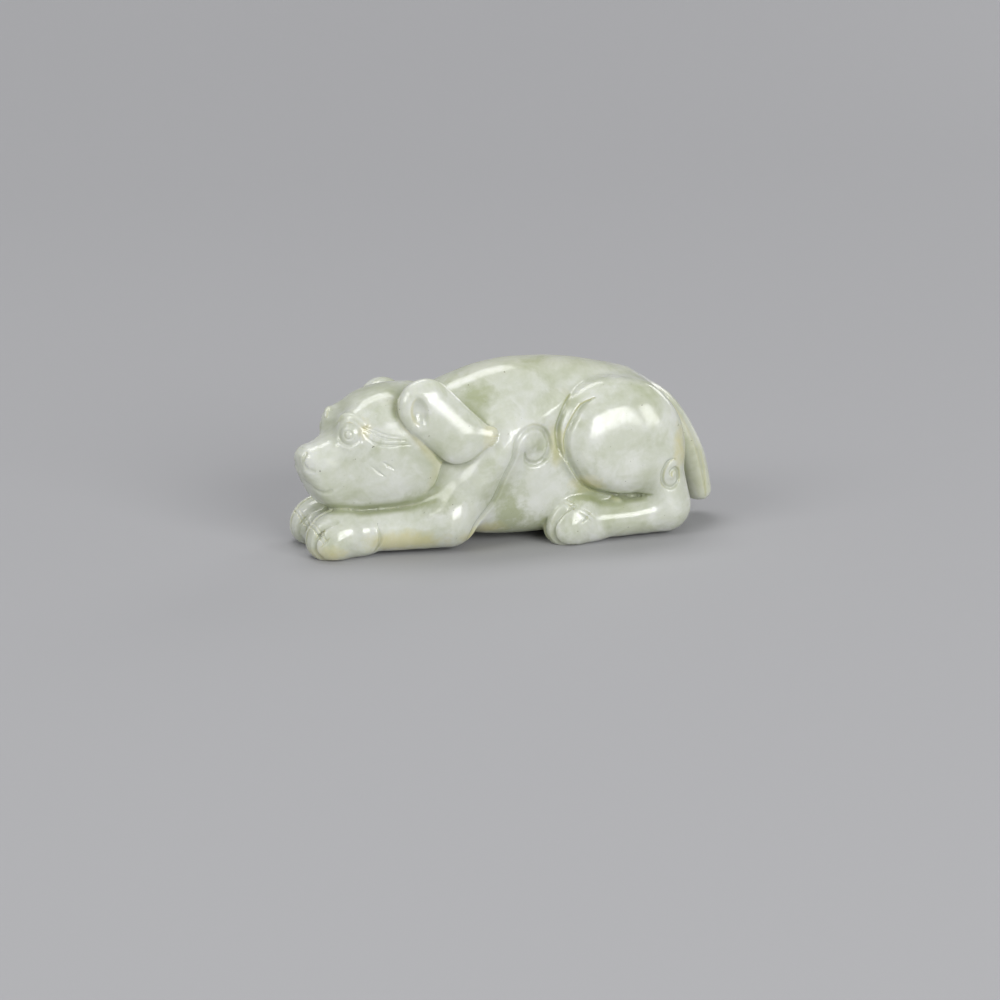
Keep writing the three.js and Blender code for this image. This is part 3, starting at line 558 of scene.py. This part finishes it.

# Polished nephrite: a tough, fibrous stone that lets light a few millimetres in. Pale grey-green with
# whiter clouds and greener depths, painted shade of darker green in its hollows and a painted yellow glow
# on its thin edges, under a waxy, bright polish.

PALE = "#C9CDBD"
# whiter clouds, also painted highlights on the flank and painted light on the tail
CLOUD_WHITE_AND_HIGHLIGHT = "#DDDFD9"
# darker green depths, also painted shade in the hollows and under the jaw, belly and thigh
DEEP_GREEN_AND_SHADE = "#9AA274"
# yellow stains, also a painted glow on the thin and the low edges
YELLOW_STAIN_AND_GLOW = "#CBC382"
SPECK = "#5E5A42"
LIGHT_REACH = 0.0035  # metres that light goes into the stone
POLISH, NEPHRITE_IOR = 0.17, 1.61  # roughness and refraction

jade = bpy.data.materials.new("polished_nephrite")
jade.use_nodes = True
tree = jade.node_tree
shader = tree.nodes["Principled BSDF"]
where = node(tree, "ShaderNodeTexCoord").outputs["Object"]

# Stains, painted shade, painted highlights and painted glow at places in the drawing: how strong they are,
# then the middle and radii of each, mm, how ragged its edge is and how soft
STAINS_AND_PAINTED_LIGHT = {
    # painted shade: darker green behind the arm, under the belly, jaw and thigh, and by the ear
    "green painted shade": (0.6, [
        ((-3, -12, 8), (5, 7, 6.5), 1.6, 0.5), ((4, -8, 3), (14, 12, 6), 1.5, 0.6),
        ((-20, -11, 13), (9, 7, 4), 1.5, 0.7), ((-9, -8, 36), (5, 6, 4), 1.5, 0.7),
        ((15, -14, 11.5), (5, 5, 4), 1.5, 0.5)]),
    "white stains and painted highlights": (0.4, [
        # pale stains, with a painted highlight on the flank and painted light on the tail
        ((-13, -15, 9), (7.5, 9, 5), 2.2, 0.3), ((47, 0, 16), (6, 6, 16), 1.2, 0.4),
        ((5, -13, 29), (8, 8, 5), 1.5, 0.8), ((4, -14, 15), (6, 7, 8), 2.4, 0.25),
        ((-4, -15, 20), (5, 6, 5), 2, 0.5)]),
    "yellow stains and painted glow": (0.55, [
        # yellow stains, with a painted glow on the low edges of the forearm, forepaw and elbow
        ((38, -14, 22), (3.2, 9, 7), 1.4, 0.7), ((-28, -12, 4), (14, 7, 3.4), 1.2, 0.6),
        ((-46, -11, 2), (6, 6, 2.5), 1.4, 0.7), ((15, -17, 14.5), (5, 6, 3), 1.2, 0.7),
        ((-37, -9, 30), (2.5, 3, 3), 1.4, 0.8), ((8, -17, 25), (2.5, 5, 8), 1, 0.8),
        ((-10, -13, 4), (8, 8, 3), 1, 0.6)])}
# Grains: the size of a blotch, mm, its detail and roughness, the pattern's place and its swirl. The
# edge of each patch has one of its own.
GRAINS = {
    "clouds": (7, 6, 0.66, (0, 0, 0), 0.4), "mist": (2.2, 3, 0.6, (0.3, 0.1, 0.2), 0),
    "depths": (13, 4, 0.6, (0.17, 0.03, 0.05), 0.5), "specks": (0.9, 2, 0.5, (0.2, 0, 0), 0),
    "polish": (2.4, 3, 0.55, (0.1, 0.4, 0), 0)}
GRAINS |= {middle: (2.6, 4, 0.6, middle, 0) for _, stains in STAINS_AND_PAINTED_LIGHT.values() for middle, *_ in stains}
# The colours laid over the pale stone, each by a pattern: where it starts to show, where it is full
# and how strong it is then
LAYERS = [
    ("clouds", 0.42, 0.66, 0.8, CLOUD_WHITE_AND_HIGHLIGHT), ("mist", 0.45, 0.75, 0.35, CLOUD_WHITE_AND_HIGHLIGHT), ("depths", 0.48, 0.68, 0.5, DEEP_GREEN_AND_SHADE),
    # the green patches are painted shade; the white hold painted highlights, the yellow a painted glow
    ("green painted shade", 0, 1, 1, DEEP_GREEN_AND_SHADE), ("white stains and painted highlights", 0, 1, 1, CLOUD_WHITE_AND_HIGHLIGHT), ("yellow stains and painted glow", 0, 1, 1, YELLOW_STAIN_AND_GLOW),
    # painted shade: darker green in the hollows; painted glow: yellower on the thin edges
    ("hollow", 0.15, 0.85, 0.6, DEEP_GREEN_AND_SHADE), ("thin", 0.3, 0.95, 0.45, YELLOW_STAIN_AND_GLOW),
    ("specks", 0.74, 0.77, 0.6, SPECK)]

patterns = {}
for name in ("hollow", "thin"):
    patterns[name] = node(tree, "ShaderNodeAttribute", attribute_name=name).outputs["Fac"]
for name, (size_mm, detail, rough, offset, swirl) in GRAINS.items():
    spot = node(tree, "ShaderNodeMapping", [(where, "Vector")], in_Location=offset)
    patterns[name] = node(tree, "ShaderNodeTexNoise", [(spot.outputs["Vector"], "Vector")],
                          in_Scale=1 / (size_mm * MM), in_Detail=detail, in_Roughness=rough,
                          in_Distortion=swirl).outputs["Fac"]
# the groups hold real stains and patches of painted shade, painted highlights and painted glow
for name, (amount, stains) in STAINS_AND_PAINTED_LIGHT.items():
    for middle, radii, ragged, soft in stains:
        place = (np.array(middle) - DRAWN_LOW + stone_low) * MM
        scale = [1 / (r * MM) for r in radii]
        spot = node(tree, "ShaderNodeMapping", [(where, "Vector")], in_Scale=scale,
                    in_Location=[-p * s for p, s in zip(place, scale)])
        away = node(tree, "ShaderNodeVectorMath", [(spot.outputs["Vector"], 0)], operation="LENGTH")
        edge = node(tree, "ShaderNodeMath", [(patterns[middle], 0), (away.outputs["Value"], 2)],
                    operation="MULTIPLY_ADD", in_1=ragged)
        patch_mask = node(tree, "ShaderNodeMapRange", [(edge.outputs["Value"], "Value")],
                     in_From_Min=1 - soft + ragged / 2, in_From_Max=1 + ragged / 2,
                     in_To_Min=amount, in_To_Max=0)
        stronger = node(tree, "ShaderNodeMath", [(patch_mask.outputs["Result"], 0)], operation="MAXIMUM", in_1=0)
        if name in patterns:
            tree.links.new(patterns[name], stronger.inputs[1])
        patterns[name] = stronger.outputs["Value"]

colour = node(tree, "ShaderNodeRGB").outputs["Color"]
colour.default_value = linear(PALE)
for pattern, start, full, amount, over in LAYERS:
    shown = node(tree, "ShaderNodeMapRange", [(patterns[pattern], "Value")], in_From_Min=start,
                 in_From_Max=full, in_To_Max=amount)
    colour = node(tree, "ShaderNodeMix", [(shown.outputs["Result"], 0), (colour, 6)], data_type="RGBA",
                  in_7=linear(over)).outputs[2]
tree.links.new(colour, shader.inputs["Base Color"])
uneven = node(tree, "ShaderNodeBump", [(patterns["polish"], "Height")], in_Strength=0.5,
              in_Distance=0.00006)  # metres
tree.links.new(uneven.outputs["Normal"], shader.inputs["Normal"])
shader.inputs["Roughness"].default_value = POLISH
shader.inputs["IOR"].default_value = NEPHRITE_IOR
shader.inputs["Subsurface Weight"].default_value = 0.6
shader.inputs["Subsurface Radius"].default_value = (1.0, 1.0, 0.8)
shader.inputs["Subsurface Scale"].default_value = LIGHT_REACH

carving.data.materials.clear()
carving.data.materials.append(jade)
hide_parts("bear")
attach(carving, "root")
